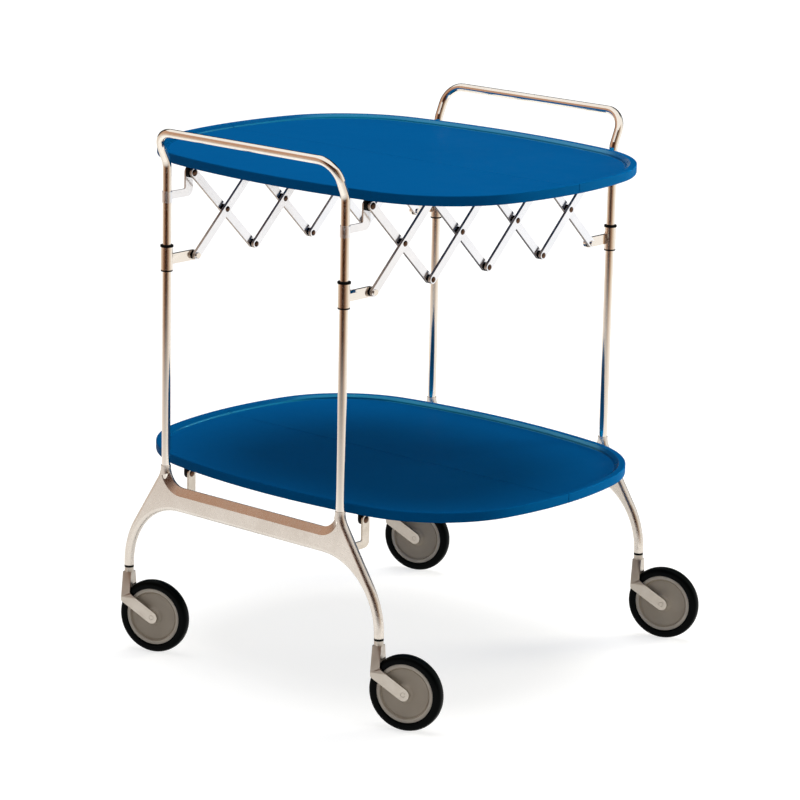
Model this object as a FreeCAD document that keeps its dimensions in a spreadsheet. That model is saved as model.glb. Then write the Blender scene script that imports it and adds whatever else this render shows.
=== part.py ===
import FreeCAD, Part
import math
import os
from FreeCAD import Placement, Rotation, Vector

# Driving dimensions of the folding trolley, in millimetres and degrees
driving = {
    # End frames: X is the folding direction, Y runs along the handles
    "post_gap_x": 520,
    "post_gap_y": 302,
    "tube_dia": 11,
    "tube_wall": 1.2,
    "tube_fit": 0.05,
    "kink_rise": 16.5,
    "kink_radius": 24,
    "handle_rise": 60,
    "handle_lean": 20,
    "handle_corner": 26,
    # Cast end bridges
    "casting_depth": 12,
    "leg_rise": 90,
    "leg_dia": 12,
    "leg_straight": 3,
    "knee_rise": 36,
    "knee_reach": 33,
    "shoulder_drop": 9,
    "shoulder_reach": 8.5,
    "crossbar_height": 32,
    "bevel_height": 10,
    "bevel_depth": 6,
    "bevel_hook": 70,
    "socket_dia": 12.6,
    "socket_height": 25,
    "socket_depth": 28,
    "socket_flare": 24,
    "casting_rounding": 5.3,
    "stem_gap_y": 436,
    # Trays and their outer pivots
    "hinge_inset": 44,
    "hinge_drop": 20.5,
    "lug_rise": 38,
    "tray_spacing": 393.5,
    "tray_overhang": 24,
    "tray_length": 602,
    "tray_height": 13,
    "end_radius": 940,
    "side_radius": 500,
    "corner_radius": 155,
    "lip_width": 9,
    "lip_rounding": 2.5,
    "recess_depth": 5,
    "lip_slope": 3,
    "floor_thickness": 3,
    "rim_band": 42,
    "seam_band": 34,
    "seam_gap": 0.6,
    "clip_thickness": 5,
    "clip_dia": 14,
    "pin_dia": 6,
    "pin_head_dia": 9,
    "pin_head_height": 1.5,
    "pin_clearance": 0.05,
    "running_gap": 0.3,
    # Brackets on the posts and lugs on the castings
    "bracket_thickness": 2.5,
    "bracket_drop": 26,
    "lug_drop": 31,
    "arm_height": 10,
    "arm_corner": 9,
    "arm_fillet": 2,
    "eye_dia": 13,
    "clamp_dia": 13,
    "clamp_height": 14,
    "flange_thickness": 3,
    "flange_width": 15,
    "flange_height": 23,
    "flange_foot": 6,
    "screw_dia": 4,
    "screw_head_dia": 7,
    "screw_head_height": 2.2,
    "screw_length": 11,
    "screw_rise": 12,
    # Middle hinges under the seam
    "leaf_width": 44,
    "leaf_length": 26,
    "leaf_thickness": 2,
    "knuckle_dia": 9,
    "knuckle_length": 14,
    "knuckle_ease": 1,
    "hinge_pin_dia": 5,
    "hinge_spread": 215,
    # Scissor linkages and sliding collars
    "scissor_rise": 105.5,
    "link_width": 11,
    "link_thickness": 4,
    "link_offset": 3,
    "spacer_dia": 11,
    "spacer_thickness": 2,
    "rivet_dia": 5,
    "rivet_head_dia": 7.6,
    "rivet_head_height": 1.6,
    "collar_dia": 15,
    "collar_height": 31,
    "ring_dia": 16.8,
    "ring_height": 3,
    "slide_gap": 0.3,
    # Casters
    "wheel_dia": 97,
    "wheel_width": 15,
    "tyre_rounding": 5.5,
    "tyre_thickness": 11,
    "hub_width": 12,
    "hub_rim": 4,
    "hub_web": 6,
    "hub_rounding": 1,
    "rim_flank": 1,
    "boss_dia": 18,
    "boss_flank": 3,
    "caster_head": 16,
    "bearing_height": 9,
    "bearing_dia": 12,
    "trail": 38,
    "heading": 18,
    "arm_width": 16,
    "arm_thickness": 3,
    "wheel_side_gap": 0.7,
    "wheel_tread_gap": 2,
    "crown_width": 12,
    "crown_top_width": 12,
    "crown_drop": 33,
    "stem_dia": 8,
    "stem_length": 24,
    "axle_dia": 6,
    "axle_chamfer": 0.4,
}

# Places and levels worked out from the driving dimensions
derived = {
    "post_x": "sizes.post_gap_x / 2",
    "post_y": "sizes.post_gap_y / 2",
    "stem_y": "sizes.stem_gap_y / 2",
    "hinge_x": "post_x - sizes.hinge_inset",
    "pitch": "hinge_x / 2",
    "tray_end": "hinge_x + sizes.tray_overhang",
    "wheel_radius": "sizes.wheel_dia / 2",
    "hub_radius": "wheel_radius - sizes.tyre_thickness",
    "leg_end_z": "sizes.wheel_dia + sizes.caster_head",
    "crown_top_z": "leg_end_z - sizes.bearing_height",
    "crossbar_z": "leg_end_z + sizes.leg_rise",
    "crossbar_top_z": "crossbar_z + sizes.crossbar_height",
    "flare_y": "post_y - sizes.socket_dia / 2 - sizes.socket_flare",
    "socket_top_z": "crossbar_top_z + sizes.socket_height",
    "low_hinge_z": "crossbar_z + sizes.lug_rise",
    "top_hinge_z": "low_hinge_z + sizes.tray_spacing",
    "kink_z": "top_hinge_z + sizes.kink_rise",
    "handle_z": "top_hinge_z + sizes.handle_rise",
    "collar_z": "top_hinge_z - sizes.scissor_rise",
    "cross_z": "top_hinge_z - sizes.scissor_rise / 2",
    "tray_base": "sizes.hinge_drop - sizes.tray_height",
    "link_length": "sqrt(pitch * pitch + sizes.scissor_rise * sizes.scissor_rise)",
    "link_angle": "atan(sizes.scissor_rise / pitch)",
    "half_link": "sizes.link_thickness / 2",
    "layer_a": "-sizes.link_offset",
    "layer_b": "layer_a - sizes.link_thickness - sizes.spacer_thickness",
    "layer_c": "layer_a + sizes.link_thickness + sizes.spacer_thickness",
    "clip_left": "layer_a + half_link + sizes.running_gap + sizes.clip_thickness / 2",
    "clip_right": "layer_b + half_link + sizes.running_gap + sizes.clip_thickness / 2",
    "ear_shift": "sizes.clip_thickness / 2 + sizes.running_gap + sizes.bracket_thickness / 2",
    "ear_left": "clip_left + ear_shift",
    "ear_right": "clip_right + ear_shift",
    "lug_left": "clip_left - ear_shift",
    "lug_right": "clip_right - ear_shift",
    "fork_gap": "sizes.wheel_width + 2 * sizes.wheel_side_gap",
    "fork_width": "fork_gap + 2 * sizes.arm_thickness",
    "trail_x": "sizes.trail * sin(sizes.heading)",
    "trail_y": "-sizes.trail * cos(sizes.heading)",
}

full_round = 0.999
sides = {"left": -1, "right": 1}
rows = {"front": -1, "rear": 1}
levels = {"top": "plan.top_hinge_z", "low": "plan.low_hinge_z"}

doc = FreeCAD.newDocument("serving_trolley")
sheet = doc.addObject("Spreadsheet::Sheet", "sizes")
for row_number, (alias, number) in enumerate(driving.items(), start=1):
    sheet.set(f"A{row_number}", str(number))
    sheet.setAlias(f"A{row_number}", alias)
doc.recompute()

plan = doc.addObject("App::VarSet", "plan")
for place_name, formula in derived.items():
    plan.addProperty("App::PropertyFloat", place_name, "plan")
    plan.setExpression(place_name, formula)
doc.recompute()

size = {alias: float(sheet.get(alias)) for alias in driving}
size.update({place_name: float(getattr(plan, place_name)) for place_name in derived})
nodes = []


# The two tangent points, the midpoint and the centre of a rounded corner
def tangent_corner(before, corner, after, radius):
    back = (before - corner).normalize()
    ahead = (after - corner).normalize()
    half = back.getAngle(ahead) / 2
    reach = radius / math.tan(half)
    bisector = (back + ahead).normalize()
    centre = corner + bisector * (radius / math.sin(half))
    middle = centre - bisector * radius
    return corner + back * reach, middle, corner + ahead * reach, centre


# The shorter arc about a centre between two points of a sketch
def arc_between(centre, one, other):
    start = math.atan2(one.y - centre.y, one.x - centre.x)
    end = math.atan2(other.y - centre.y, other.x - centre.x)
    sweep = (end - start) % (2 * math.pi)
    if sweep > math.pi:
        start = end
        sweep = 2 * math.pi - sweep
    circle = Part.Circle(centre, Vector(0, 0, 1), (one - centre).Length)
    return Part.ArcOfCircle(circle, start, start + sweep)


# A closed outline through corners given as (x, y, rounding radius)
def rounded(corners):
    points = [Vector(x, y, 0) for x, y, _ in corners]
    count = len(corners)
    starts = []
    ends = []
    edges = []
    for index, point in enumerate(points):
        radius = corners[index][2]
        if radius <= 0:
            starts.append(point)
            ends.append(point)
            continue
        following = points[(index + 1) % count]
        first, _, last, centre = tangent_corner(points[index - 1], point, following, radius)
        edges.append(arc_between(centre, first, last))
        starts.append(first)
        ends.append(last)
    for index in range(count):
        leave = ends[index]
        arrive = starts[(index + 1) % count]
        if (arrive - leave).Length > 1e-6:
            edges.append(Part.LineSegment(leave, arrive))
    return edges


# A slot outline around the segment between two points
def slot(start, end, radius):
    along = (end - start).normalize() * radius
    across = Vector(-along.y, along.x, 0)
    return [
        Part.LineSegment(start + across, end + across),
        Part.LineSegment(start - across, end - across),
        arc_between(end, end + across, end + along),
        arc_between(end, end + along, end - across),
        arc_between(start, start + across, start - along),
        arc_between(start, start - along, start - across),
    ]


def circle_at(x, y, radius):
    return Part.Circle(Vector(x, y, 0), Vector(0, 0, 1), radius)


def new_body(name):
    return doc.addObject("PartDesign::Body", name)


# A sketch on an origin plane of its body, lifted along the plane's normal by a formula
def new_sketch(body, role, edges, lift="0"):
    sketch = body.newObject("Sketcher::SketchObject", f"{body.Name}_sketch")
    plane = next(item for item in body.Origin.OriginFeatures if item.Role == role)
    sketch.AttachmentSupport = [(plane, "")]
    sketch.MapMode = "FlatFace"
    sketch.setExpression("AttachmentOffset.Base.z", lift)
    sketch.addGeometry(edges, False)
    return sketch


def extrude(body, kind, sketch, length, symmetric, reverse):
    feature = body.newObject(f"PartDesign::{kind}", f"{body.Name}_{kind.lower()}")
    feature.Profile = sketch
    feature.setExpression("Length", length)
    if symmetric:
        feature.SideType = "Symmetric"
    feature.Reversed = reverse
    return feature


def pad(body, sketch, length, symmetric=False, reverse=False):
    return extrude(body, "Pad", sketch, length, symmetric, reverse)


# A cut that has to take material away from its body
def pocket(body, sketch, length, symmetric=False, reverse=False):
    doc.recompute()
    before = body.Shape.Volume
    feature = extrude(body, "Pocket", sketch, length, symmetric, reverse)
    doc.recompute()
    if body.Shape.Volume > before - 1e-3:
        raise RuntimeError(f"{feature.Name} takes nothing away")
    return feature


# A turned piece: a profile of (axial, radial) corners revolved about its axial direction
def turned(name, corners):
    body = new_body(name)
    sketch = new_sketch(body, "YZ_Plane", rounded(corners))
    feature = body.newObject("PartDesign::Revolution", f"{name}_turn")
    feature.Profile = sketch
    feature.ReferenceAxis = (sketch, ["H_Axis"])
    feature.Angle = 360
    return body


def move(item, x="0", y="0", z="0"):
    item.setExpression("Placement.Base.x", x)
    item.setExpression("Placement.Base.y", y)
    item.setExpression("Placement.Base.z", z)


def turn(item, axis, angle):
    item.Placement = Placement(Vector(), Rotation(Vector(*axis), 30))
    item.setExpression("Placement.Rotation.Angle", angle)


# A cylinder along +Y between two formulas
def rod(name, radius, x, start, end, z):
    piece = doc.addObject("Part::Cylinder", name)
    piece.setExpression("Radius", radius)
    piece.setExpression("Height", f"({end}) - ({start})")
    piece.Placement = Placement(Vector(), Rotation(Vector(1, 0, 0), -90))
    move(piece, x, start, z)
    return piece


# A pin along +Y made of steps, each with a radius, a start and an end
def pin(name, x, z, steps):
    rods = [rod(f"{name}_step", radius, x, start, end, z) for radius, start, end in steps]
    fused = doc.addObject("Part::MultiFuse", name)
    fused.Shapes = rods
    return fused


# A flat ring along +Y
def washer(name, outer, inner, x, start, end, z):
    ring = doc.addObject("Part::Cut", name)
    ring.Base = rod(f"{name}_disc", outer, x, start, end, z)
    ring.Tool = rod(f"{name}_bore", inner, x, start, end, z)
    return ring


def group(name, pieces):
    bundle = doc.addObject("Part::Compound", name)
    bundle.Links = pieces
    return bundle


def keep(node):
    nodes.append(node)


def post_line(row):
    return f"{rows[row]} * plan.post_y"


# Bent handle tube: two posts, their kinked necks and the grip bar
def handle_tube(side):
    sign = sides[side]
    foot = sign * size["post_x"]
    grip = foot + sign * size["handle_lean"]
    deep = size["socket_top_z"] - size["socket_depth"]
    across = size["post_y"]
    points = [
        Vector(foot, across, deep),
        Vector(foot, across, size["kink_z"]),
        Vector(grip, across, size["handle_z"]),
        Vector(grip, -across, size["handle_z"]),
        Vector(foot, -across, size["kink_z"]),
        Vector(foot, -across, deep),
    ]
    bends = [size["kink_radius"], size["handle_corner"], size["handle_corner"], size["kink_radius"]]
    edges = []
    last = points[0]
    for index, bend in enumerate(bends, start=1):
        first, middle, end, _ = tangent_corner(points[index - 1], points[index], points[index + 1], bend)
        edges.append(Part.LineSegment(last, first).toShape())
        edges.append(Part.Arc(first, middle, end).toShape())
        last = end
    edges.append(Part.LineSegment(last, points[-1]).toShape())
    path = Part.Wire(edges)
    shells = []
    for radius in (size["tube_dia"] / 2, size["tube_dia"] / 2 - size["tube_wall"]):
        ring = Part.Wire(Part.Circle(points[0], Vector(0, 0, 1), radius).toShape())
        shells.append(path.makePipeShell([ring], True, False))
    tube = doc.addObject("Part::Feature", f"handle_tube_{side}")
    tube.Shape = shells[0].cut(shells[1])
    tube.Placement = Placement()
    keep(tube)


# One half of the casting's outline in Y and Z, from the crossbar's underside to its top
def casting_corners():
    inner = size["stem_y"] - size["leg_dia"] / 2
    outer = size["stem_y"] + size["leg_dia"] / 2
    socket = size["post_y"] + size["socket_dia"] / 2
    knee = size["leg_end_z"] + size["knee_rise"]
    shoulder = size["socket_top_z"] - size["shoulder_drop"]
    half_turn = math.tan(math.atan2(outer - socket, shoulder - knee) / 2)
    return [
        (inner, size["crossbar_z"], size["leg_rise"] - size["leg_straight"]),
        (inner, size["leg_end_z"], 0),
        (outer, size["leg_end_z"], 0),
        (outer, knee, size["knee_reach"] / half_turn),
        (socket, shoulder, size["shoulder_reach"] / half_turn),
        (socket, size["socket_top_z"], 0),
        (socket - size["socket_dia"], size["socket_top_z"], 0),
        (socket - size["socket_dia"], size["crossbar_top_z"], size["socket_flare"]),
    ]


# Edges of a padded outline that lie on its end faces, apart from those of its flat ends
def outline_edges(feature, along, faces, skip):
    doc.recompute()
    names = []
    for number, edge in enumerate(feature.Shape.Edges, start=1):
        box = edge.BoundBox
        low = Vector(box.XMin, box.YMin, box.ZMin)
        high = Vector(box.XMax, box.YMax, box.ZMax)
        flat = {axis for axis in range(3) if high[axis] - low[axis] < 1e-4}
        on_face = along in flat and any(abs(low[along] - face) < 1e-4 for face in faces)
        on_end = any(axis in flat and abs(low[axis] - level) < 1e-4 for axis, level in skip)
        if on_face and not on_end:
            names.append(f"Edge{number}")
    return names


# Edges of a sunk floor's brink: level with the lip's crest and inside its inner end
def inner_edges(feature, level, reach):
    names = []
    for number, edge in enumerate(feature.Shape.Edges, start=1):
        box = edge.BoundBox
        flat = abs(box.ZMax - level) < 1e-4 and abs(box.ZMin - level) < 1e-4
        curved = edge.Curve.TypeId == "Part::GeomCircle"
        if flat and curved and max(abs(box.XMin), abs(box.XMax)) < reach + 1e-3:
            names.append(f"Edge{number}")
    return names


def fillet(body, feature, names, radius):
    rounding = body.newObject("PartDesign::Fillet", f"{body.Name}_fillet")
    rounding.Base = (feature, names)
    rounding.setExpression("Radius", radius)
    return rounding


# The curled end of the crossbar's bevel, turned about the centre of the flare under a socket
def bevel_hook(body, bevel, end):
    sketch = new_sketch(body, "XZ_Plane", rounded(bevel), f"{-end} * plan.flare_y")
    level = size["crossbar_top_z"] + size["socket_flare"]
    axis = Part.LineSegment(Vector(0, level, 0), Vector(size["socket_flare"], level, 0))
    sketch.addGeometry([axis], True)
    hook = body.newObject("PartDesign::Groove", f"{body.Name}_hook")
    hook.Profile = sketch
    hook.ReferenceAxis = (sketch, ["Axis0"])
    hook.setExpression("Angle", "sizes.bevel_hook")
    hook.Reversed = end < 0


# Cast bridge: crossbar, sockets for the posts and splayed legs for the casters
def end_casting(side):
    sign = sides[side]
    body = new_body(f"end_casting_{side}")
    half = casting_corners()
    mirrored = [(-y, z, radius) for y, z, radius in reversed(half)]
    outline = new_sketch(body, "YZ_Plane", rounded(half + mirrored))
    bridge = pad(body, outline, "sizes.casting_depth", symmetric=True)
    face = size["casting_depth"] / 2
    ends = [(2, size["leg_end_z"]), (2, size["socket_top_z"])]
    fillet(body, bridge, outline_edges(bridge, 0, (-face, face), ends), "sizes.casting_rounding")
    sockets = [circle_at(0, end * size["post_y"], size["socket_dia"] / 2) for end in (-1, 1)]
    collar = new_sketch(body, "XY_Plane", sockets, "plan.socket_top_z")
    pad(body, collar, "sizes.socket_height", reverse=True)
    edge = sign * face
    top = size["crossbar_top_z"]
    depth = size["bevel_depth"]
    bevel = [
        (edge, top - size["bevel_height"], 0),
        (edge + sign * depth, top - size["bevel_height"], 0),
        (edge + sign * depth, top + depth, 0),
        (edge - sign * depth, top + depth, 0),
        (edge - sign * depth, top, 0),
    ]
    pocket(body, new_sketch(body, "XZ_Plane", rounded(bevel)), "2 * plan.flare_y", symmetric=True)
    for end in (-1, 1):
        bevel_hook(body, bevel, end)
    tube_bore = size["tube_dia"] / 2 + size["tube_fit"]
    bores = [circle_at(0, end * size["post_y"], tube_bore) for end in (-1, 1)]
    pocket(body, new_sketch(body, "XY_Plane", bores, "plan.socket_top_z"), "sizes.socket_depth")
    stem_bore = size["stem_dia"] / 2 + size["pin_clearance"]
    stems = [circle_at(0, end * size["stem_y"], stem_bore) for end in (-1, 1)]
    stem_depth = "sizes.stem_length + sizes.running_gap"
    pocket(body, new_sketch(body, "XY_Plane", stems, "plan.leg_end_z"), stem_depth, reverse=True)
    screw_bore = size["screw_dia"] / 2 + size["pin_clearance"]
    screw_z = size["low_hinge_z"] - size["lug_drop"] + size["screw_rise"]
    lug = size[f"lug_{side}"]
    holes = [circle_at(end * size["post_y"] + lug, screw_z, screw_bore) for end in (-1, 1)]
    inner_face = f"{-sign} * sizes.casting_depth / 2"
    screw_depth = "sizes.screw_length - sizes.flange_thickness + sizes.running_gap"
    pocket(body, new_sketch(body, "YZ_Plane", holes, inner_face), screw_depth, reverse=sign > 0)
    move(body, f"{sign} * plan.post_x")
    keep(body)


# The L-shaped arm of a bracket: out from the post or casting and up to the eye
def arm_outline(sign, start, drop):
    half = size["arm_height"] / 2
    eye = size["eye_dia"] / 2
    reach = size["hinge_inset"]
    inward = -sign
    return rounded([
        (inward * start, -drop - half, 0),
        (inward * (reach + eye), -drop - half, size["arm_corner"]),
        (inward * (reach + eye), eye, eye * full_round),
        (inward * (reach - eye), eye, eye * full_round),
        (inward * (reach - eye), -drop + half, size["arm_fillet"]),
        (inward * start, -drop + half, 0),
    ])


def eye_hole(body, sign):
    bore = size["pin_dia"] / 2 + size["pin_clearance"]
    hole = [circle_at(-sign * size["hinge_inset"], 0, bore)]
    pocket(body, new_sketch(body, "XZ_Plane", hole), "sizes.post_gap_y", symmetric=True)


# Brackets clamped on the posts, carrying the top tray and the scissors
def top_brackets(side):
    sign = sides[side]
    pieces = []
    for row in rows:
        body = new_body(f"top_bracket_{side}_{row}")
        disc = [circle_at(0, 0, size["clamp_dia"] / 2)]
        clamp = new_sketch(body, "XY_Plane", disc, "-sizes.bracket_drop - sizes.clamp_height / 2")
        pad(body, clamp, "sizes.clamp_height")
        arm = arm_outline(sign, 0, size["bracket_drop"])
        plate = new_sketch(body, "XZ_Plane", arm, f"-plan.ear_{side}")
        pad(body, plate, "sizes.bracket_thickness", symmetric=True)
        bore = [circle_at(0, 0, size["tube_dia"] / 2 + size["tube_fit"])]
        pocket(body, new_sketch(body, "XY_Plane", bore), "4 * sizes.bracket_drop", symmetric=True)
        eye_hole(body, sign)
        move(body, f"{sign} * plan.post_x", post_line(row), "plan.top_hinge_z")
        pieces.append(body)
    keep(group(f"top_brackets_{side}", pieces))


# Lugs screwed to the inner face of the casting, carrying the low tray
def tray_lugs(side):
    sign = sides[side]
    pieces = []
    for row in rows:
        body = new_body(f"tray_lug_{side}_{row}")
        foot = -size["lug_drop"] - size["flange_foot"]
        lug = size[f"lug_{side}"]
        half = size["flange_width"] / 2
        flange = rounded([
            (lug - half, foot, size["arm_fillet"]),
            (lug + half, foot, size["arm_fillet"]),
            (lug + half, foot + size["flange_height"], size["arm_fillet"]),
            (lug - half, foot + size["flange_height"], size["arm_fillet"]),
        ])
        face = f"{-sign} * sizes.casting_depth / 2"
        pad(body, new_sketch(body, "YZ_Plane", flange, face), "sizes.flange_thickness", reverse=sign > 0)
        arm = arm_outline(sign, size["casting_depth"] / 2, size["lug_drop"])
        plate = new_sketch(body, "XZ_Plane", arm, f"-plan.lug_{side}")
        pad(body, plate, "sizes.bracket_thickness", symmetric=True)
        screw = [circle_at(lug, -size["lug_drop"] + size["screw_rise"],
                           size["screw_dia"] / 2 + size["pin_clearance"])]
        pocket(body, new_sketch(body, "YZ_Plane", screw, face), "3 * sizes.flange_thickness", symmetric=True)
        eye_hole(body, sign)
        move(body, f"{sign} * plan.post_x", post_line(row), "plan.low_hinge_z")
        pieces.append(body)
    keep(group(f"tray_lugs_{side}", pieces))


# Screws through the lugs' flanges into the castings
def lug_screws(side):
    sign = sides[side]
    pieces = []
    for row in rows:
        head = size["screw_head_height"]
        profile = [
            (0, 0, 0),
            (0, size["screw_head_dia"] / 2, 0),
            (head, size["screw_head_dia"] / 2, 0),
            (head, size["screw_dia"] / 2, 0),
            (head + size["screw_length"], size["screw_dia"] / 2, 0),
            (head + size["screw_length"], 0, 0),
        ]
        body = turned(f"lug_screw_{side}_{row}", profile)
        turn(body, (0, 0, 1), f"{-sign} * 90")
        seat = "sizes.casting_depth / 2 + sizes.flange_thickness + sizes.screw_head_height"
        level = "plan.low_hinge_z - sizes.lug_drop + sizes.screw_rise"
        move(body, f"{sign} * (plan.post_x - ({seat}))", f"{post_line(row)} + plan.lug_{side}", level)
        pieces.append(body)
    keep(group(f"lug_screws_{side}", pieces))


# Pins on which the trays turn; the top ones carry the scissor ends too
def pivot_pins(side):
    sign = sides[side]
    link = {"left": "plan.layer_a", "right": "plan.layer_b"}[side]
    pieces = []
    for level, height in levels.items():
        for row in rows:
            base = post_line(row)
            front = f"plan.lug_{side} - sizes.bracket_thickness / 2"
            back = f"{base} + plan.clip_{side} + sizes.clip_thickness / 2 + sizes.running_gap"
            if level == "top":
                front = f"{link} - plan.half_link - sizes.running_gap"
                back = f"{base} + plan.ear_{side} + sizes.bracket_thickness / 2"
            head = "sizes.pin_head_dia / 2"
            steps = [
                (head, f"{base} + {front} - sizes.pin_head_height", f"{base} + {front}"),
                ("sizes.pin_dia / 2", f"{base} + {front}", back),
                (head, back, f"{back} + sizes.pin_head_height"),
            ]
            pieces.append(pin(f"pivot_pin_{side}_{level}_{row}", f"{sign} * plan.hinge_x", height, steps))
    keep(group(f"pivot_pins_{side}", pieces))


# Half of a tray's outline, inset from its edge and closed by a straight line near the seam
def tray_outline(sign, inset, seam):
    end_radius = size["end_radius"]
    side_radius = size["side_radius"]
    corner_radius = size["corner_radius"]
    end_centre = Vector(size["tray_end"] - end_radius, 0, 0)
    side_centre = Vector(0, size["tray_length"] / 2 - side_radius, 0)
    to_end = end_radius - corner_radius
    to_side = side_radius - corner_radius
    between = side_centre - end_centre
    span = between.Length
    along = (to_end ** 2 - to_side ** 2 + span ** 2) / (2 * span)
    height = math.sqrt(to_end ** 2 - along ** 2)
    unit = between.normalize()
    corner = end_centre + unit * along + Vector(-unit.y, unit.x, 0) * height
    end_touch = end_centre + (corner - end_centre).normalize() * (end_radius - inset)
    side_touch = side_centre + (corner - side_centre).normalize() * (side_radius - inset)
    seam_y = side_centre.y + math.sqrt((side_radius - inset) ** 2 - seam ** 2)
    seam_point = Vector(seam, seam_y, 0)

    def set_out(point, flip):
        return Vector(sign * point.x, flip * point.y, 0)

    edges = [
        Part.LineSegment(set_out(seam_point, 1), set_out(seam_point, -1)),
        arc_between(set_out(end_centre, 1), set_out(end_touch, 1), set_out(end_touch, -1)),
    ]
    for flip in (-1, 1):
        turns = [(side_centre, seam_point, side_touch), (corner, side_touch, end_touch)]
        for centre, first, last in turns:
            edges.append(arc_between(set_out(centre, flip), set_out(first, flip), set_out(last, flip)))
    return edges


# One half of a tray: raised lip, sunk floor and hollow underside
def tray_half(level, side):
    sign = sides[side]
    body = new_body(f"{level}_tray_{side}")
    outline = tray_outline(sign, 0, size["seam_gap"] / 2)
    plate = pad(body, new_sketch(body, "XY_Plane", outline, "plan.tray_base"), "sizes.tray_height")
    seam = [(0, sign * size["seam_gap"] / 2)]
    rim = outline_edges(plate, 2, (size["tray_base"], size["hinge_drop"]), seam)
    fillet(body, plate, rim, "sizes.lip_rounding")
    recess = tray_outline(sign, size["lip_width"], 0)
    sunk = pocket(body, new_sketch(body, "XY_Plane", recess, "sizes.hinge_drop"), "sizes.recess_depth")
    brink = inner_edges(sunk, size["hinge_drop"], size["tray_end"] - size["lip_width"])
    slope = body.newObject("PartDesign::Chamfer", f"{body.Name}_slope")
    slope.Base = (sunk, brink)
    slope.setExpression("Size", "sizes.lip_slope")
    hollow = tray_outline(sign, size["rim_band"], size["seam_band"])
    depth = "sizes.tray_height - sizes.recess_depth - sizes.floor_thickness"
    pocket(body, new_sketch(body, "XY_Plane", hollow, "plan.tray_base"), depth, reverse=True)
    move(body, "0", "0", levels[level])
    keep(body)


# Clips under the tray that turn on the pivot pins
def tray_clips(level, side):
    sign = sides[side]
    pieces = []
    for row in rows:
        body = new_body(f"{level}_clip_{side}_{row}")
        half = size["clip_dia"] / 2
        outline = rounded([
            (-half, size["tray_base"], 0),
            (-half, -half, half * full_round),
            (half, -half, half * full_round),
            (half, size["tray_base"], 0),
        ])
        block = new_sketch(body, "XZ_Plane", outline, f"-plan.clip_{side}")
        pad(body, block, "sizes.clip_thickness", symmetric=True)
        hole = [circle_at(0, 0, size["pin_dia"] / 2 + size["pin_clearance"])]
        pocket(body, new_sketch(body, "XZ_Plane", hole), "sizes.post_gap_y / 2", symmetric=True)
        move(body, f"{sign} * plan.hinge_x", post_line(row), levels[level])
        pieces.append(body)
    keep(group(f"{level}_tray_clips_{side}", pieces))


# Hinge leaves under the seam; the left ones hold two knuckles each and the pin
def hinge_leaves(level, side):
    sign = sides[side]
    knuckle = size["knuckle_dia"] / 2
    under = size["tray_base"] - size["leaf_thickness"]
    pieces = []
    for number, place in enumerate((-1, 0, 1), start=1):
        spread = f"{place} * sizes.hinge_spread"
        body = new_body(f"{level}_leaf_{side}_{number}")
        plate = rounded([
            (sign * knuckle, under, 0),
            (sign * (knuckle + size["leaf_length"]), under, 0),
            (sign * (knuckle + size["leaf_length"]), size["tray_base"], 0),
            (sign * knuckle, size["tray_base"], 0),
        ])
        pad(body, new_sketch(body, "XZ_Plane", plate), "sizes.leaf_width", symmetric=True)
        near = Vector(sign * knuckle, 0, 0)
        far = Vector(0, knuckle, 0)
        root = Vector(sign * knuckle, size["tray_base"], 0)
        eased = Vector(sign * size["knuckle_ease"], size["tray_base"], 0)
        brow = Vector(0, size["tray_base"] - size["knuckle_ease"], 0)
        eye = [
            Part.LineSegment(near, root),
            Part.LineSegment(root, eased),
            Part.LineSegment(eased, brow),
            Part.LineSegment(brow, far),
            arc_between(Vector(), far, -near),
            arc_between(Vector(), -near, -far),
            arc_between(Vector(), -far, near),
        ]
        steps = ["0"]
        if side == "left":
            shift = "(sizes.knuckle_length + sizes.running_gap)"
            steps = [f"-{shift}", shift]
        for step in steps:
            pad(body, new_sketch(body, "XZ_Plane", eye, step), "sizes.knuckle_length", symmetric=True)
        hole = [circle_at(0, 0, size["hinge_pin_dia"] / 2 + size["pin_clearance"])]
        pocket(body, new_sketch(body, "XZ_Plane", hole), "sizes.leaf_width * 2", symmetric=True)
        move(body, "0", spread, levels[level])
        pieces.append(body)
        if side == "left":
            half = "1.5 * sizes.knuckle_length + sizes.running_gap"
            name = f"{level}_hinge_pin_{number}"
            radius = "sizes.hinge_pin_dia / 2"
            pieces.append(rod(name, radius, "0", f"{spread} - ({half})", f"{spread} + {half}", levels[level]))
    keep(group(f"{level}_hinge_leaves_{side}", pieces))


# A flat scissor link between two pivots, with a hole at each end and one at the crossing
def link(name, rising, number, row, end_bores):
    body = new_body(name)
    half = size["link_length"] / 2
    ends = [Vector(-half, 0, 0), Vector(half, 0, 0)]
    pad(body, new_sketch(body, "XZ_Plane", slot(ends[0], ends[1], size["link_width"] / 2)),
        "sizes.link_thickness", symmetric=True)
    bores = [end_bores[0], size["rivet_dia"] / 2, end_bores[1]]
    holes = []
    for place, bore in zip((-half, 0, half), bores):
        holes.append(circle_at(place, 0, bore + size["pin_clearance"]))
    pocket(body, new_sketch(body, "XZ_Plane", holes), "4 * sizes.link_thickness", symmetric=True)
    turn(body, (0, -1 if rising else 1, 0), "plan.link_angle")
    layer = "plan.layer_b" if rising else "plan.layer_a"
    move(body, f"{number - 2.5} * plan.pitch", f"{post_line(row)} + {layer}", "plan.cross_z")
    return body


def rivet_steps(base, front, back, head_gap, tail_gap):
    head = "sizes.rivet_head_dia / 2"
    start = f"{base} + {front} - {head_gap}"
    end = f"{base} + {back} + {tail_gap}"
    return [
        (head, f"{start} - sizes.rivet_head_height", start),
        ("sizes.rivet_dia / 2", start, end),
        (head, end, f"{end} + sizes.rivet_head_height"),
    ]


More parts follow.
